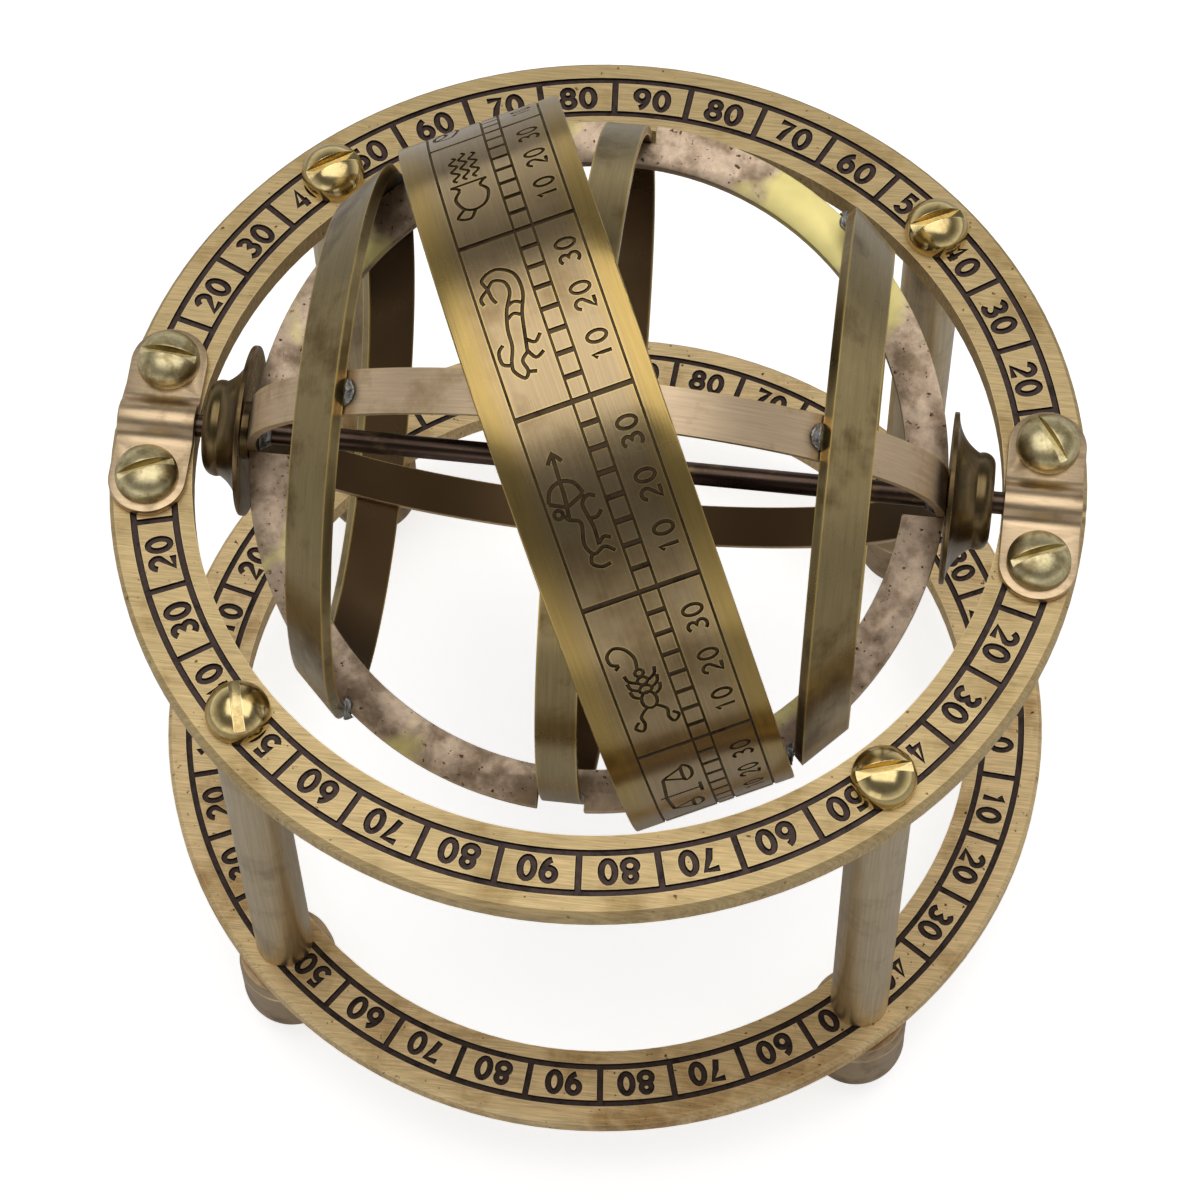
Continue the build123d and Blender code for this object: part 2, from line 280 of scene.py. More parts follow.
# The lines that a sanding belt, a wire wheel, a die and a lathe leave are really 0.02 to 0.05 mm wide. They
# are too fine for the render, so the grains below draw them 0.15 to 0.3 mm wide, coarser than real, to show.
# A grain with three equal sizes is a mottled skin without lines.

# Ring plate: brass, antiqued and then sanded on a belt. It looks golden and satin, with straight strokes all
# one way, small brown pits and brighter edges.
ring_brass = aged_metal("brushed_brass", "#CDB484", "#B59A68", "#E0CA98", 0.5, 9, 0.08,
                        (3.5, 0.16, 1.0), 0.24, pit="#7A5330", pit_size=0.8, pit_share=0.02, bump=0.02)
# The same plate for the base ring, a little browner and more pitted. Its colour is painted lighter than the
# upper ring's, as painted light against the shade that the upper ring casts on it.
base_brass_painted_light = aged_metal("brushed_brass_base_painted_light", "#E6CA98", "#BE9A66", "#EED8A6", 0.5, 9, 0.12,
                        (3.5, 0.16, 1.0), 0.24, pit="#5F4024", pit_size=0.8, pit_share=0.03, bump=0.02)
# Blackened brass: the antiquing bath stays in the rings' engraving. The walls are dull and painted near
# black, darker than the floors, as painted shade.
groove_wall_painted_shade = aged_metal("blackened_groove_painted_shade", "#2C2020", "#3A2A24", None, 0.55, 2, 0.1,
                         (1, 1, 1), 0.1, metallic=0.6)
# The same on the floors, speckled, and painted lighter and browner than the walls, as painted light.
groove_floor_painted_light = aged_metal("groove_floor_painted_light", "#4A3A34", "#2E2320", None, 0.5, 1.5, 0.1,
                          (0.4, 0.4, 0.4), 0.25, metallic=0.6)
# The zodiac band's engraving is shallow and has been rubbed, so it is brown and still looks like metal.
band_groove = aged_metal("band_groove", "#5A4A38", "#42352A", None, 0.5, 2, 0.1, (1, 1, 1), 0.1)
# Zodiac band: antique brass sheet, wire-brushed round the hoop. It looks brown and glossy, golden where
# its margins and edges are rubbed. Its inward faces are painted darker, as painted shade.
band_brass = aged_metal("antique_brass_band", "#A8926F", "#8A7351", "#D6BC76", 0.24, 14, 0.1,
                        (0.2, 9, 9), 0.1, turn=zodiac_place.to_euler(), inside_shade="#5A4630",
                        margin=("#B0955A", 5.0, 7.2), wear_radius=0.3, bump=0.01)
# Equator and tropic hoops: strip of the same brass, more olive and cloudier, with gold along the edges that
# is partly rubbed metal and partly a painted highlight. Their inward faces are painted darker, as painted
# shade.
hoop_brass = aged_metal("antique_brass_hoop", "#9C8A62", "#75623F", "#DABD72", 0.3, 8, 0.12,
                        (0.2, 6, 6), 0.12, inside_shade="#6A543A", wear_radius=0.45, bump=0.01)
# Half rings: brass plate, tarnished by the heat and the flux of the soldering. It looks pinkish brown, matt
# and blotchy, with fine pits and bare yellow patches.
arc_brass = aged_metal("tarnished_plate", "#C8B199", "#98826B", "#E4D4A4", 0.5, 4, 0.16,
                       (0.8, 0.8, 0.8), 0.18, pit="#5E4232", pit_size=0.6, pit_share=0.07,
                       patch=("#E4D690", 13, 0.14), bump=0.03)
# Equinox hoop: strip that was antiqued less. It looks lighter and rosy, and more matt than the others. Its
# inward faces are painted darker, as painted shade.
equinox_brass = aged_metal("lighter_brass_hoop", "#E0C6A4", "#C0A480", "#E6CC90", 0.46, 6, 0.12,
                           (0.2, 6, 6), 0.12, turn=equinox_place.to_euler(), inside_shade="#6A543A", bump=0.01)
# Saddles: thin strip, pressed over the axle and wiped clean. It looks rosy, satin and lightly stained.
saddle_brass = aged_metal("saddle_brass", "#CFB592", "#AC9472", "#E4CC98", 0.36, 4, 0.12,
                          (2, 0.3, 2), 0.12, bump=0.01)
# Pillars: drawn brass rod, greyish gold, with faint lines along its length from the die.
pillar_brass = aged_metal("drawn_brass_rod", "#C8B695", "#B09E80", "#DCC494", 0.36, 8, 0.1,
                          (0.25, 0.25, 9), 0.14, bump=0.01)
# Pillar screws: turned and polished brass, the yellowest and glossiest metal of the object.
screw_brass = aged_metal("polished_screw_brass", "#D6C088", "#B49A66", "#F0DFA8", 0.19, 3, 0.08,
                         (0.5, 0.5, 0.5), 0.08, bump=0.01)
# Saddle screws: the same brass unpolished, satin and stained in small spots.
dull_screw_brass = aged_metal("dull_screw_brass", "#D2C498", "#A4946A", "#E2CE94", 0.36, 2, 0.14,
                              (0.4, 0.4, 0.4), 0.12, bump=0.02)
# Feet: turned brass, toned to bronze, with the lathe's fine rings.
foot_brass = aged_metal("foot_bronze", "#BAA384", "#967F62", "#D0B58A", 0.36, 4, 0.12,
                        (6, 6, 0.15), 0.12, bump=0.01)
# Axle: brass rod, blackened and glossy, with the brass coming through in streaks along it.
axle_brass = aged_metal("axle_rod", "#54443A", "#8C7452", "#A08A5C", 0.3, 6, 0.08,
                        (5, 0.3, 0.3), 0.2, bump=0.02)
# Pole caps: turned brass, toned to a dark bronze, glossy, with worn rims and the lathe's rings.
cap_brass = aged_metal("cap_bronze", "#6C5B3E", "#4E402C", "#A27E52", 0.3, 4, 0.12,
                       (0.3, 3, 3), 0.12, bump=0.01)
# Solder: lead and tin, grey and dull, with dark spots of burnt flux and an uneven skin.
solder = aged_metal("lead_solder", "#8C8A88", "#4A4644", "#B0AEAA", 0.45, 0.9, 0.14,
                    (0.3, 0.3, 0.3), 0.3, bump=0.08)


# Meshes

def add_object(name, mesh):
    """New object in the scene, at the origin."""
    piece = bpy.data.objects.new(name, mesh)
    scene.collection.objects.link(piece)
    return piece


def baked_mesh(piece):
    """The mesh that the piece's modifiers give. The piece itself is removed."""
    bpy.context.view_layer.update()
    mesh = bpy.data.meshes.new_from_object(piece.evaluated_get(bpy.context.evaluated_depsgraph_get()))
    bpy.data.objects.remove(piece)
    return mesh


def smooth(mesh, angle=smooth_angle):
    """Smooth shading, with edges sharper than the angle in degrees left sharp."""
    mesh.shade_smooth()
    mesh.set_sharp_from_angle(angle=math.radians(angle))


def node_copy(node):
    """Copy of a CAD node's mesh with its triangles joined up."""
    work = bmesh.new()
    work.from_mesh(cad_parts[node].data)
    bmesh.ops.remove_doubles(work, verts=work.verts, dist=merge_distance * MM)
    bmesh.ops.dissolve_limit(work, angle_limit=math.radians(flat_angle), verts=work.verts, edges=work.edges)
    mesh = bpy.data.meshes.new(node)
    work.to_mesh(mesh)
    work.free()
    if "custom_normal" in mesh.attributes:
        mesh.attributes.remove(mesh.attributes["custom_normal"])
    return mesh


def softened(node, width, brass):
    """Copy of a CAD node with its sharp edges rounded by the width in millimetres."""
    mesh = node_copy(node)
    mesh.materials.clear()
    mesh.materials.append(brass)
    piece = add_object(node, mesh)
    bevel = piece.modifiers.new("edges", "BEVEL")
    bevel.width = width * MM
    bevel.segments = edge_segments
    bevel.limit_method = "ANGLE"
    bevel.angle_limit = math.radians(edge_from_angle)
    mesh = baked_mesh(piece)
    smooth(mesh, rounded_smooth_angle)
    return mesh


def lumpy(node, metal):
    """Copy of a CAD node with the uneven surface of a blob that has run and set."""
    work = bmesh.new()
    work.from_mesh(node_copy(node))
    bmesh.ops.triangulate(work, faces=work.faces)
    for _ in range(lump_rounds):
        long_edges = [edge for edge in work.edges if edge.calc_length() > lump_step * MM]
        bmesh.ops.subdivide_edges(work, edges=long_edges, cuts=1)
        bmesh.ops.triangulate(work, faces=work.faces)
    work.normal_update()
    for vertex in work.verts:
        sunk = 0.5 + 0.5 * noise.noise(vertex.co / (lump_size * MM))
        vertex.co -= vertex.normal * lump_height * MM * sunk
    mesh = bpy.data.meshes.new(node)
    work.to_mesh(mesh)
    work.free()
    mesh.materials.append(metal)
    mesh.shade_smooth()
    return mesh


def groove_tree():
    """Geometry Nodes: a tapered cutter along every stroke, its floor and walls each in their own material."""
    tree = bpy.data.node_groups.new("groove_along_strokes", "GeometryNodeTree")
    tree.interface.new_socket("Strokes", in_out="INPUT", socket_type="NodeSocketGeometry")
    for name in ("Opening", "Floor width", "Depth"):
        tree.interface.new_socket(name, in_out="INPUT", socket_type="NodeSocketFloat")
    for name in ("Wall", "Floor"):
        tree.interface.new_socket(name, in_out="INPUT", socket_type="NodeSocketMaterial")
    tree.interface.new_socket("Cutter", in_out="OUTPUT", socket_type="NodeSocketGeometry")
    given = add_node(tree, "NodeGroupInput")
    upright = add_node(tree, "GeometryNodeSetCurveNormal", {0: given.outputs["Strokes"]}, mode="Z_UP")
    profile = add_node(tree, "GeometryNodeCurvePrimitiveQuadrilateral",
                       {"Bottom Width": given.outputs["Opening"], "Top Width": given.outputs["Floor width"],
                        "Height": given.outputs["Depth"], "Offset": 0.0}, mode="TRAPEZOID")
    swept = add_node(tree, "GeometryNodeCurveToMesh", {
        0: upright.outputs[0], 1: profile.outputs[0], "Fill Caps": True})
    half_down = add_node(tree, "ShaderNodeMath", {0: given.outputs["Depth"], 1: -0.5}, operation="MULTIPLY")
    raised = add_node(tree, "ShaderNodeMath", {0: half_down.outputs[0], 1: cut_rise * MM}, operation="ADD")
    shift = add_node(tree, "ShaderNodeCombineXYZ", {2: raised.outputs[0]})
    lowered = add_node(tree, "GeometryNodeSetPosition", {0: swept.outputs[0], "Offset": shift.outputs[0]})
    normal = add_node(tree, "GeometryNodeInputNormal")
    parts = add_node(tree, "ShaderNodeSeparateXYZ", {0: normal.outputs[0]})
    down = add_node(tree, "ShaderNodeMath", {0: parts.outputs[2], 1: floor_facing}, operation="LESS_THAN")
    walls = add_node(tree, "GeometryNodeSetMaterial", {
        0: lowered.outputs[0], "Material": given.outputs["Wall"]})
    floors = add_node(tree, "GeometryNodeSetMaterial", {
        0: walls.outputs[0], 1: down.outputs[0], "Material": given.outputs["Floor"]})
    real = add_node(tree, "GeometryNodeRealizeInstances", {0: floors.outputs[0]})
    add_node(tree, "NodeGroupOutput", {0: real.outputs[0]})
    return tree


groove_nodes = groove_tree()


def set_inputs(modifier, values):
    """Set a Geometry Nodes modifier's inputs by the identifiers of their sockets."""
    sockets = {item.name: item.identifier for item in modifier.node_group.interface.items_tree
               if item.in_out == "INPUT"}
    for name, value in values.items():
        modifier[sockets[name]] = value


def groove_mesh(strokes, sizes, wall, floor):
    """Closed cutter for strokes given as (points in millimetres, closed), on the plane z = 0.
    The sizes are the groove's opening, floor and depth."""
    curve = bpy.data.curves.new("strokes", "CURVE")
    curve.dimensions = "3D"
    for points, closed in strokes:
        spline = curve.splines.new("POLY")
        spline.points.add(len(points) - 1)
        spline.use_cyclic_u = closed
        for point, place in zip(spline.points, points):
            point.co = (place[0] * MM, place[1] * MM, 0, 1)
    piece = add_object("strokes", curve)
    modifier = piece.modifiers.new("grooves", "NODES")
    modifier.node_group = groove_nodes
    opening, floor_width, depth = sizes
    set_inputs(modifier, {"Opening": opening * MM, "Floor width": floor_width * MM,
                          "Depth": (depth + cut_rise) * MM, "Wall": wall, "Floor": floor})
    return baked_mesh(piece)


def joined(meshes):
    """One mesh of several, with each material once."""
    work = bmesh.new()
    materials = []
    for mesh in meshes:
        part = bmesh.new()
        part.from_mesh(mesh)
        indices = []
        for material in mesh.materials:
            if material not in materials:
                materials.append(material)
            indices.append(materials.index(material))
        for face in part.faces:
            face.material_index = indices[face.material_index]
        part.to_mesh(mesh)
        part.free()
        work.from_mesh(mesh)
    whole = bpy.data.meshes.new("cutters")
    work.to_mesh(whole)
    work.free()
    for material in materials:
        whole.materials.append(material)
    return whole


def cut(mesh, cutter):
    """Take the cutter away from the mesh; the cut faces keep the cutter's materials."""
    piece = add_object("blank", mesh)
    tool = add_object("cutter", cutter)
    modifier = piece.modifiers.new("cut", "BOOLEAN")
    modifier.operation = "DIFFERENCE"
    modifier.solver = "EXACT"
    modifier.use_self = True
    modifier.material_mode = "TRANSFER"
    modifier.object = tool
    mesh = baked_mesh(piece)
    bpy.data.objects.remove(tool)
    return mesh


# Strokes of the numerals, in a box one wide and one high

def bow(x, y, width, height, start, end, steps=12):
    """Points along an elliptical arc, by its middle, half sizes and angles in degrees."""
    angles = [math.radians(start + (end - start) * i / steps) for i in range(steps + 1)]
    return [(x + width * math.cos(a), y + height * math.sin(a)) for a in angles]


def oval(x, y, width, height, steps=18):
    """Closed stroke round an ellipse, by its middle and half sizes."""
    return bow(x, y, width, height, 0, 360, steps)[:-1], True


six = [(bow(0.78, 0.3, 0.76, 0.7, 100, 170, 6) + [(0.03, 0.32)], False), oval(0.5, 0.3, 0.47, 0.3)]
numerals = {
    "0": [oval(0.5, 0.5, 0.5, 0.5)],
    "1": [([(0.2, 0.78), (0.55, 1.0), (0.55, 0.0)], False)],
    "2": [(bow(0.5, 0.7, 0.46, 0.3, 170, -25, 10) + [(0.03, 0.0), (1.0, 0.0)], False)],
    "3": [(bow(0.45, 0.76, 0.42, 0.24, 150, -90, 10)
           + bow(0.45, 0.27, 0.5, 0.27, 90, -150, 10)[1:], False)],
    "4": [([(0.7, 0.0), (0.7, 1.0), (0.0, 0.3), (1.0, 0.3)], False)],
    "5": [([(0.92, 1.0), (0.2, 1.0), (0.12, 0.5)] + bow(0.48, 0.32, 0.48, 0.32, 130, -150, 12), False)],
    "6": six,
    "7": [([(0.0, 1.0), (1.0, 1.0), (0.6, 0.5), (0.4, 0.0)], False)],
    "8": [oval(0.5, 0.76, 0.4, 0.24, 14), oval(0.5, 0.27, 0.5, 0.27, 16)],
    "9": [([(1 - x, 1 - y) for x, y in points], closed) for points, closed in six],
}


def written(text, width, height, pitch):
    """Strokes of a number, centred on x = 0 and standing on y = 0."""
    strokes = []
    for place, letter in enumerate(text):
        left = (place - (len(text) - 1) / 2) * pitch - width / 2
        for points, closed in numerals.get(letter, []):
            strokes.append(([(left + x * width, y * height) for x, y in points], closed))
    return strokes


def engraved_ring(node, brass):
    """The CAD ring with its degree scale cut into the top face."""
    turn = scale_turns[node]
    lines = [oval(0, 0, radius, radius, circle_steps) for radius in (scale_inner_radius, scale_outer_radius)]
    digits = []
    for cell in range(scale_cells):
        angle = math.radians(turn + 360 / scale_cells * (cell + 0.5))
        out = Vector((math.cos(angle), math.sin(angle)))
        lines.append(([out * scale_inner_radius, out * scale_outer_radius], False))
        angle = math.radians(turn + 360 / scale_cells * cell)
        out = Vector((math.cos(angle), math.sin(angle)))
        across = Vector((out.y, -out.x))
        cells_from_zero = cells_in_quarter - abs(cell % (2 * cells_in_quarter) - cells_in_quarter)
        value = degrees_in_cell * cells_from_zero
        for points, closed in written(str(value), digit_width, digit_height, digit_pitch):
            placed = [out * (digit_base_radius + y) + across * x for x, y in points]
            digits.append((placed, closed))
    # Walls of the grooves take the painted shade, and their floors the painted light.
    cutter = joined([groove_mesh(lines, line_sizes, groove_wall_painted_shade, groove_floor_painted_light),
                     groove_mesh(digits, digit_sizes, groove_wall_painted_shade, groove_floor_painted_light)])
    cutter.transform(Matrix.Translation((0, 0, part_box(node)[1].z)))
    blank = node_copy(node)
    blank.materials.clear()
    blank.materials.append(brass)
    mesh = cut(blank, cutter)
    smooth(mesh)
    return mesh


# Line figures of the zodiac band, in the builder's own plain drawing. Each stands on y = 0, is about 12 mm
# long and 4.6 mm high, and its strokes are in millimetres.

def curved(points, closed=False, steps=4):
    """Stroke through the points as one smooth curve."""
    count = len(points)
    result = []
    for i in range(count if closed else count - 1):
        near = [points[j % count] if closed else points[min(max(j, 0), count - 1)]
                for j in range(i - 1, i + 3)]
        a, b, c, d = (Vector(point) for point in near)
        for step in range(steps):
            t = step / steps
            result.append(tuple(0.5 * (2 * b + (c - a) * t + (2 * a - 5 * b + 4 * c - d) * t ** 2
                                       + (3 * b - a - 3 * c + d) * t ** 3)))
    if not closed:
        result.append(tuple(points[-1]))
    return result, closed


def straight(*points):
    """Open stroke from point to point."""
    return list(points), False


def mirrored(strokes, axis=0):
    """The strokes and their mirror image, across x = 0 or, for axis 1, across y = 2."""
    flip = (lambda x, y: (-x, y)) if axis == 0 else (lambda x, y: (x, 4 - y))
    return strokes + [([flip(*point) for point in points], closed) for points, closed in strokes]


def wave(x, y, length, height, turns):
    """Wavy stroke to the right of a point."""
    steps = wave_steps * turns
    return [(x + length * i / steps, y + height * math.sin(2 * math.pi * turns * i / steps))
            for i in range(steps + 1)], False


def four_legs():
    """Back, belly, legs and tail of a walking beast that faces left."""
    return [curved([(-3.2, 3.3), (-1.8, 3.5), (0.4, 3.1), (2.6, 3.3), (3.7, 2.5), (3.4, 1.3), (3.7, 0.2)]),
            curved([(-2.6, 1.7), (-0.4, 1.5), (2.0, 1.8), (2.4, 1.0), (2.2, 0.2)]),
            curved([(-3.2, 2.0), (-2.9, 1.1), (-3.3, 0.2)]), curved([(-2.2, 1.7), (-1.8, 1.0), (-2.2, 0.2)]),
            straight((-3.9, 0.2), (-3.3, 0.2)), straight((-2.8, 0.2), (-2.2, 0.2)),
            straight((1.6, 0.2), (2.2, 0.2)), straight((3.1, 0.2), (3.7, 0.2)),
            curved([(3.6, 2.9), (4.8, 2.3), (5.4, 3.1), (4.7, 3.8), (5.5, 4.4)])]


def scorpion():
    """Scorpion with its sting raised, claws to the left."""
    strokes = [oval(-2.1, 2.0, 1.1, 0.75, 12), oval(-0.7, 2.0, 0.5, 0.62, 10), oval(0.4, 2.0, 0.45, 0.52, 10),
               oval(1.4, 2.05, 0.42, 0.42, 10),
               curved([(1.9, 2.1), (3.2, 2.0), (4.4, 2.6), (4.9, 3.6), (4.3, 4.4), (3.3, 4.3), (2.9, 3.6)]),
               straight((2.9, 3.6), (2.5, 4.1))]
    for x in (-1.7, -0.7, 0.3):
        strokes += mirrored([curved([(x, 2.6), (x + 0.5, 3.3), (x + 1.3, 3.5)])], 1)
    strokes += mirrored([curved([(-3.0, 2.5), (-3.9, 3.3), (-5.0, 3.2), (-5.9, 3.6), (-5.2, 4.2),
                                 (-4.5, 3.7)])], 1)
    return strokes


def ear_of_wheat():
    """Ear of wheat on a leafy stem, with six pairs of grains."""
    stem = curved([(-5.8, 0.6), (-3, 1.4), (0, 2.0), (5.6, 2.5)])
    grains = []
    for step in range(6):
        x = -1.2 + 1.15 * step
        y = 1.8 + 0.12 * step
        grains += [curved([(x, y), (x + 0.5, y + 1.1), (x + 1.5, y + 1.3), (x + 1.1, y + 0.5)], True),
                   curved([(x, y), (x + 0.7, y - 0.9), (x + 1.6, y - 0.9), (x + 1.1, y - 0.2)], True)]
    return [stem, curved([(-4.6, 0.9), (-3.8, 2.3), (-2.6, 3.4)])] + grains


figures = [
    # Jug pouring water
    [curved([(-1.4, 3.3), (-2.6, 3.9), (-4.3, 3.4), (-4.9, 2.3), (-4.3, 1.1), (-2.6, 0.6), (-1.4, 1.2)]),
     curved([(-1.4, 3.3), (-0.9, 3.4), (-0.4, 4.1)]), curved([(-1.4, 1.2), (-0.9, 1.0), (-0.4, 0.4)]),
     straight((-0.4, 4.1), (-0.4, 0.4)), curved([(-4.4, 3.3), (-5.5, 4.2), (-6.0, 3.0), (-4.9, 2.3)]),
     wave(0.3, 3.2, 5.4, 0.34, 3), wave(0.3, 2.2, 6.0, 0.34, 3), wave(0.3, 1.2, 5.4, 0.34, 3)],
    # Goat with the tail of a fish
    [curved([(-4.0, 3.6), (-2.6, 3.1), (-0.8, 3.0), (1.2, 2.5), (2.9, 1.7), (4.2, 1.9), (4.7, 2.9),
             (4.0, 3.6)]),
     curved([(-3.6, 1.9), (-1.8, 1.6), (0.4, 1.2), (2.6, 0.5), (4.8, 0.8), (5.9, 2.4), (5.2, 3.9),
             (4.0, 3.6)]),
     curved([(4.0, 3.6), (3.2, 4.5), (2.4, 4.4)]), curved([(4.0, 3.6), (2.9, 3.5), (2.2, 3.2)]),
     curved([(-4.0, 3.6), (-5.0, 3.7), (-6.0, 2.9), (-5.4, 2.4), (-4.3, 2.6), (-3.6, 1.9)]),
     curved([(-4.4, 3.7), (-4.0, 4.5), (-2.8, 4.5), (-2.2, 3.9)]), straight((-5.5, 2.4), (-5.7, 1.6)),
     curved([(-3.4, 1.9), (-4.4, 1.3), (-4.0, 0.4)]), curved([(-2.4, 1.6), (-2.9, 0.9), (-2.2, 0.2)]),
     curved([(0.2, 2.7), (0.6, 2.0), (0.2, 1.3)]), curved([(1.5, 2.4), (1.8, 1.6), (1.4, 0.9)])],
    # Archer
    [curved([(-4.9, 0.2), (-4.2, 1.1), (-4.6, 2.2), (-3.4, 2.8), (-1.4, 2.4), (-0.8, 3.3), (-0.3, 3.7)]),
     curved([(-3.9, 1.5), (-2.2, 1.4), (-0.9, 1.6), (0.3, 1.7), (0.9, 1.0), (0.6, 0.3)]),
     curved([(-1.2, 1.6), (-1.3, 0.8), (-0.8, 0.2)]), curved([(-3.8, 1.5), (-3.3, 0.8), (-3.6, 0.2)]),
     curved([(-4.5, 2.4), (-5.4, 2.7), (-6.0, 1.9), (-5.9, 1.0)]), oval(0.0, 4.15, 0.42, 0.42, 9),
     straight((-0.6, 3.3), (1.9, 3.0)), curved([(1.2, 4.7), (2.4, 4.2), (2.9, 3.0), (2.4, 1.8), (1.2, 1.3)]),
     straight((1.2, 4.7), (0.4, 3.1), (1.2, 1.3)), straight((0.4, 3.1), (5.6, 2.9)),
     straight((4.7, 3.6), (5.7, 2.9), (4.7, 2.2))],
    scorpion(),
    # Pair of scales
    mirrored([straight((0, 3.9), (4.4, 3.6)), straight((4.4, 3.6), (3.1, 1.5)),
              straight((4.4, 3.6), (5.7, 1.5)),
              curved([(2.9, 1.5), (3.5, 0.7), (5.3, 0.7), (5.9, 1.5)], True), straight((0, 0.3), (1.3, 0.3))])
    + [straight((0, 4.5), (0, 0.3))],
    ear_of_wheat(),
    # Lion
    four_legs() + [oval(-4.0, 3.0, 1.35, 1.25, 10), oval(-4.2, 2.9, 0.7, 0.65, 10)],
    # Crab
    [oval(0, 1.9, 2.3, 1.3, 16)] + mirrored([
        curved([(1.7, 2.9), (2.9, 3.3), (3.6, 4.2), (4.8, 4.3), (4.9, 3.6), (4.0, 3.5)]),
        curved([(2.2, 2.2), (3.6, 2.4), (4.6, 1.9)]), curved([(2.2, 1.6), (3.5, 1.4), (4.3, 0.8)]),
        curved([(1.8, 1.0), (2.9, 0.7), (3.5, 0.2)]), straight((0.6, 3.1), (0.8, 3.7))]),
    # Twins, hand in hand
    mirrored([oval(2.0, 4.1, 0.5, 0.45, 9), curved([(2.0, 3.6), (2.2, 2.7), (2.0, 1.8)]),
              curved([(0.0, 2.5), (1.1, 3.1), (2.0, 3.2), (3.2, 2.9), (4.0, 2.2)]),
              curved([(2.0, 1.8), (1.4, 1.0), (1.3, 0.2)]), curved([(2.0, 1.8), (2.8, 1.0), (2.9, 0.2)])]),
    # Bull
    four_legs() + [curved([(-3.2, 3.3), (-3.9, 3.6), (-4.8, 3.2), (-5.5, 2.1), (-4.9, 1.7), (-3.9, 2.1),
                           (-3.2, 2.0)]),
                   curved([(-4.2, 3.6), (-5.2, 3.9), (-5.6, 4.6)]),
                   curved([(-4.0, 3.6), (-3.6, 4.2), (-4.1, 4.7)])],
    # Ram
    four_legs() + [curved([(-3.2, 3.4), (-4.2, 3.7), (-5.1, 3.0), (-5.6, 2.2), (-4.9, 1.8), (-4.0, 2.1),
                           (-3.2, 2.0)]),
                   curved([(-4.6, 3.4), (-4.0, 4.3), (-3.0, 4.1), (-2.8, 3.2), (-3.5, 2.7), (-4.0, 3.1)])],
    # Two fishes on a cord
    [curved([(-5.9, 4.3), (-4.2, 4.4), (-2.6, 3.9), (-0.6, 3.1), (-0.6, 4.2), (-2.6, 3.3), (-4.4, 3.2),
             (-5.9, 4.3)]),
     curved([(5.9, 0.4), (4.2, 0.3), (2.6, 0.8), (0.6, 1.6), (0.6, 0.5), (2.6, 1.4), (4.4, 1.5), (5.9, 0.4)]),
     curved([(-5.9, 4.3), (-6.1, 2.6), (-3.0, 1.9), (0.0, 2.4), (3.0, 2.9), (6.1, 2.2), (5.9, 0.4)])],
]


def zodiac_strokes():
    """The band's marks, laid flat. X runs up the band as it is read, and Y to its left edge."""
    half_length = math.pi * zodiac_outer_radius
    cell_length = 2 * half_length / zodiac_cells
    first = -half_length + seam_gap
    line_length = 2 * half_length - 2 * seam_gap
    steps = round(line_length / mark_step)
    run = [first + line_length * i / steps for i in range(steps + 1)]
    long_lines = [([(x, -across) for x in run], False)
                  for across in (figure_left, ladder_left, ladder_right, number_right)]
    crosses = []
    drawn = []
    for cell in range(zodiac_cells):
        start = -half_length + cell * cell_length
        if cell:
            crosses += [straight((start, -figure_left), (start, -ladder_left)),
                        straight((start, -ladder_right), (start, -number_right))]
        for box in range(boxes_in_cell):
            x = start + cell_length * box / boxes_in_cell
            if box or cell:
                crosses.append(straight((x, -ladder_left), (x, -ladder_right)))
        middle = start + cell_length / 2
        for points, closed in figures[figure_order[cell]]:
            drawn.append(([(middle + x, y + figure_base) for x, y in points], closed))
        for points, closed in written("10 20 30", number_width, number_height, number_pitch):
            drawn.append(([(middle + x, y - number_base) for x, y in points], closed))
    return long_lines, crosses, stepped(drawn)


def stepped(strokes):
    """The strokes with their long runs divided, so that they can bend."""
    result = []
    for points, closed in strokes:
        fine = []
        for i, point in enumerate(points):
            fine.append(tuple(point))
            if closed or i + 1 < len(points):
                start, end = Vector(point), Vector(points[(i + 1) % len(points)])
                steps = math.ceil((end - start).length / mark_step)
                fine += [tuple(start.lerp(end, step / steps)) for step in range(1, steps)]
        result.append((fine, closed))
    return result


def wrapped(mesh, top_angle):
    """Wrap a flat cutter round the band's outer face; x = 0 goes to the angle, in radians from +Y."""
    radius = zodiac_outer_radius * MM
    for vertex in mesh.vertices:
        angle = top_angle - vertex.co.x / radius
        out = radius + vertex.co.z
        vertex.co = (-vertex.co.y, out * math.cos(angle), out * math.sin(angle))
    return mesh


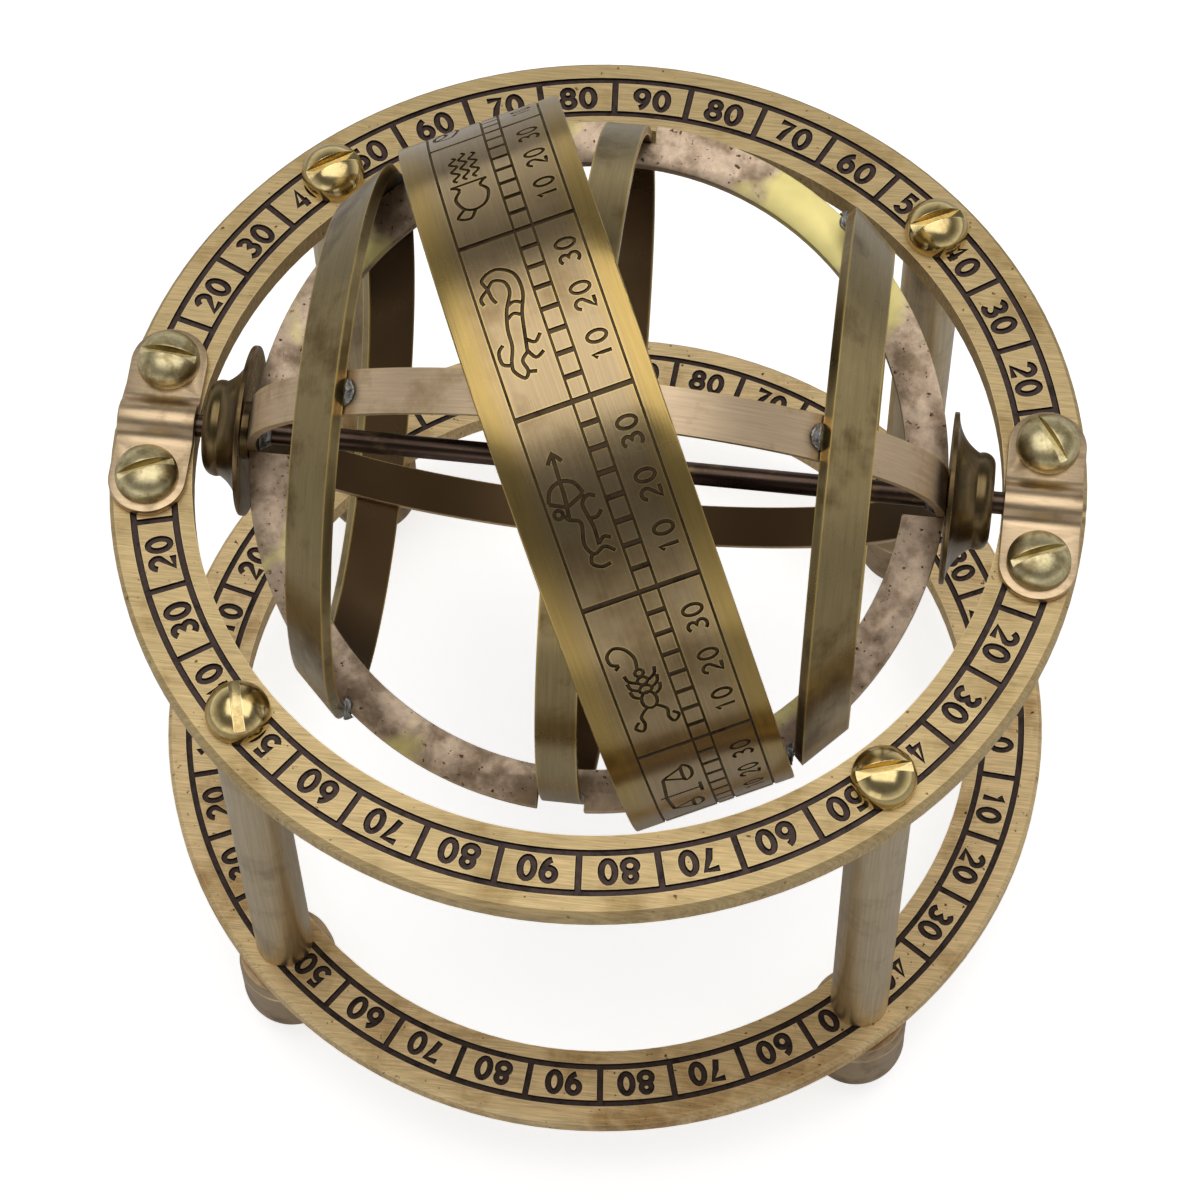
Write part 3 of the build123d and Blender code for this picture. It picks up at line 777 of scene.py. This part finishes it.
def hoop_tree():
    """Geometry Nodes: a strip hoop round Z with rounded edges."""
    tree = bpy.data.node_groups.new("strip_hoop", "GeometryNodeTree")
    for name in ("Outer radius", "Width", "Thickness", "Edge radius"):
        tree.interface.new_socket(name, in_out="INPUT", socket_type="NodeSocketFloat")
    tree.interface.new_socket("Segments", in_out="INPUT", socket_type="NodeSocketInt")
    tree.interface.new_socket("Material", in_out="INPUT", socket_type="NodeSocketMaterial")
    tree.interface.new_socket("Hoop", in_out="OUTPUT", socket_type="NodeSocketGeometry")
    given = add_node(tree, "NodeGroupInput")
    half = add_node(tree, "ShaderNodeMath", {0: given.outputs["Thickness"], 1: 0.5}, operation="MULTIPLY")
    middle = add_node(tree, "ShaderNodeMath", {0: given.outputs["Outer radius"], 1: half.outputs[0]},
                      operation="SUBTRACT")
    circle = add_node(tree, "GeometryNodeCurvePrimitiveCircle", {
        "Resolution": given.outputs["Segments"], "Radius": middle.outputs[0]})
    upright = add_node(tree, "GeometryNodeSetCurveNormal", {0: circle.outputs[0]}, mode="Z_UP")
    section = add_node(tree, "GeometryNodeCurvePrimitiveQuadrilateral", {
        "Width": given.outputs["Thickness"], "Height": given.outputs["Width"]}, mode="RECTANGLE")
    rounded = add_node(tree, "GeometryNodeFilletCurve", {
        0: section.outputs[0], "Count": hoop_corner_steps, "Radius": given.outputs["Edge radius"]},
                       mode="POLY")
    swept = add_node(tree, "GeometryNodeCurveToMesh", {0: upright.outputs[0], 1: rounded.outputs[0]})
    finish = add_node(tree, "GeometryNodeSetMaterial", {
        0: swept.outputs[0], "Material": given.outputs["Material"]})
    real = add_node(tree, "GeometryNodeRealizeInstances", {0: finish.outputs[0]})
    add_node(tree, "NodeGroupOutput", {0: real.outputs[0]})
    return tree


def hoop_mesh(tree, values):
    """The strip hoop as a mesh, with its faces pointing outwards."""
    piece = add_object("hoop", bpy.data.meshes.new("hoop"))
    modifier = piece.modifiers.new("hoop", "NODES")
    modifier.node_group = tree
    set_inputs(modifier, values)
    mesh = baked_mesh(piece)
    work = bmesh.new()
    work.from_mesh(mesh)
    bmesh.ops.recalc_face_normals(work, faces=work.faces)
    work.to_mesh(mesh)
    work.free()
    return mesh


def engraved_zodiac():
    """The zodiac band with its lines, ladder, figures and numbers cut into the outer face."""
    long_lines, crosses, drawn = zodiac_strokes()
    cutters = [groove_mesh(strokes, sizes, band_groove, band_groove) for strokes, sizes in (
        (long_lines, band_line_sizes), (crosses, cross_line_sizes), (drawn, figure_sizes))]
    cutter = wrapped(joined(cutters), math.radians(first_cell_angle + 2 * cell_angle))
    blank = hoop_mesh(hoop_tree(), {
        "Outer radius": zodiac_outer_radius * MM, "Width": zodiac_width * MM,
        "Thickness": (zodiac_outer_radius - zodiac_inner_radius) * MM,
        "Edge radius": zodiac_edge_radius * MM, "Segments": zodiac_segments, "Material": band_brass})
    blank.transform(Matrix.Rotation(math.radians(90), 4, "Y"))
    mesh = cut(blank, cutter)
    mesh.transform(zodiac_place)
    smooth(mesh)
    return mesh


def finished(name, mesh, body, slot, *nodes):
    """Finished piece on its body, in place of the CAD nodes."""
    piece = add_object(name, mesh)
    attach(piece, body)
    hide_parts(*nodes)


# Camera, floor and light

def add_camera():
    """The photograph's camera, as it was fitted."""
    turn, rise, roll = (math.radians(a) for a in (camera_turn, camera_elevation, camera_roll))
    back = Vector((math.sin(turn) * math.cos(rise), -math.cos(turn) * math.cos(rise), math.sin(rise)))
    level = Vector((math.cos(turn), math.sin(turn), 0))
    upright = back.cross(level)
    right = level * math.cos(roll) + upright * math.sin(roll)
    up = upright * math.cos(roll) - level * math.sin(roll)
    place = back * camera_distance + right * camera_shift_right + up * camera_shift_up
    data = bpy.data.cameras.new("camera")
    data.sensor_width = sensor_width
    data.lens = focal_length_px * sensor_width / image_size_px
    data.clip_start = nearest_seen * MM
    camera = bpy.data.objects.new("camera", data)
    scene.collection.objects.link(camera)
    turned = Matrix((right, up, back)).transposed().to_4x4()
    camera.matrix_world = Matrix.Translation(place * MM + Vector((0, 0, ring_top))) @ turned
    scene.camera = camera


def add_softbox(name, place, size, radiance):
    """Rectangular lamp that faces the object. Its place and size are in metres, and 1 is white."""
    data = bpy.data.lights.new(name, "AREA")
    data.shape = "RECTANGLE"
    data.size, data.size_y = size
    data.energy = radiance * math.pi * size[0] * size[1]
    lamp = bpy.data.objects.new(name, data)
    lamp.location = place
    lamp.rotation_euler = (Vector(place) - lit_point).to_track_quat("Z", "Y").to_euler()
    scene.collection.objects.link(lamp)


def add_world():
    """White studio: white to the eye, fading to grey overhead where the metal reflects it."""
    world = bpy.data.worlds.new("studio")
    scene.world = world
    world.use_nodes = True
    tree = world.node_tree
    shader = tree.nodes["Background"]
    direction = add_node(tree, "ShaderNodeTexCoord")
    parts = add_node(tree, "ShaderNodeSeparateXYZ", {0: direction.outputs["Generated"]})
    level = add_node(tree, "ShaderNodeMapRange", {
        "Value": parts.outputs[2], "From Min": 0.0, "From Max": overhead_from,
        "To Min": horizon_brightness, "To Max": overhead_brightness})
    path = add_node(tree, "ShaderNodeLightPath")
    seen = add_node(tree, "ShaderNodeMath", {0: level.outputs[0], 1: path.outputs["Is Camera Ray"]},
                    operation="MAXIMUM")
    tree.links.new(seen.outputs[0], shader.inputs["Color"])


def add_floor():
    """White paper under the object: matt, pale and plain, with the object's shadow on it."""
    material = bpy.data.materials.new("white_paper")
    material.use_nodes = True
    tree = material.node_tree
    shader = tree.nodes["Principled BSDF"]
    shader.inputs["Base Color"].default_value = (floor_grey, floor_grey, floor_grey, 1)
    shader.inputs["Roughness"].default_value = floor_roughness
    path = add_node(tree, "ShaderNodeLightPath")
    glow = add_node(tree, "ShaderNodeMath", {0: path.outputs["Is Camera Ray"], 1: floor_glow},
                    operation="MULTIPLY")
    shader.inputs["Emission Color"].default_value = (1, 1, 1, 1)
    tree.links.new(glow.outputs[0], shader.inputs["Emission Strength"])
    mesh = bpy.data.meshes.new("floor")
    far = floor_half_width
    mesh.from_pydata([(-far, -far, 0), (far, -far, 0), (far, far, 0), (-far, far, 0)], [], [(0, 1, 2, 3)])
    mesh.materials.append(material)
    add_object("floor", mesh)


# The object's pieces

finished("horizon_ring_engraved", engraved_ring("horizon_ring", ring_brass), "stand", "ring_brass",
         "horizon_ring")
# The base ring's brass carries painted light against the upper ring's shade.
finished("base_ring_engraved", engraved_ring("base_ring", base_brass_painted_light), "stand", "ring_brass", "base_ring")
finished("zodiac_band_engraved", engraved_zodiac(), "sphere", "band_brass", "zodiac_band")

# CAD nodes with rounded edges: the rounding in millimetres, the metal, the body and the slot
rounded_nodes = [
    ("saddle_left", 0.15, saddle_brass, "stand", "saddle_brass"),
    ("saddle_right", 0.15, saddle_brass, "stand", "saddle_brass"),
    ("solstice_arc_front", 0.12, arc_brass, "sphere", "arc_brass"),
    ("solstice_arc_back", 0.12, arc_brass, "sphere", "arc_brass"),
    ("pole_cap_left", 0.1, cap_brass, "sphere", "cap_brass"),
    ("pole_cap_right", 0.1, cap_brass, "sphere", "cap_brass")]
rounded_nodes += [("pillar_screw_" + corner, 0.16, screw_brass, "stand", "screw_brass")
                  for corner in ("front_left", "front_right", "back_left", "back_right")]
rounded_nodes += [("saddle_screw_" + corner, 0.12, dull_screw_brass, "stand", "screw_brass")
                  for corner in ("left_front", "left_back", "right_front", "right_back")]
for name, rounding, metal, body, slot in rounded_nodes:
    finished(name + "_finished", softened(name, rounding, metal), body, slot, name)
finished("solder_lumps", lumpy("solder_joints", solder), "sphere", "solder", "solder_joints")

# CAD nodes that are seen as they are
plain_metals = {"pillar": pillar_brass, "foot": foot_brass, "axle": axle_brass, "equinox_hoop": equinox_brass,
                "equator_hoop": hoop_brass, "tropic_hoop": hoop_brass}
for name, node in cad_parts.items():
    for family, metal in plain_metals.items():
        if name.startswith(family):
            for slot in node.material_slots:
                slot.material = metal

# The studio. Each softbox is given its place, its size and its brightness.
add_camera()
add_world()
add_floor()
add_softbox("overhead_softbox", (0.0, 0.06, 0.62), (0.75, 0.52), 1.6)
add_softbox("front_softbox", (-0.25, -0.75, 0.3), (0.5, 0.3), 0.5)
scene.view_settings.view_transform = "Standard"
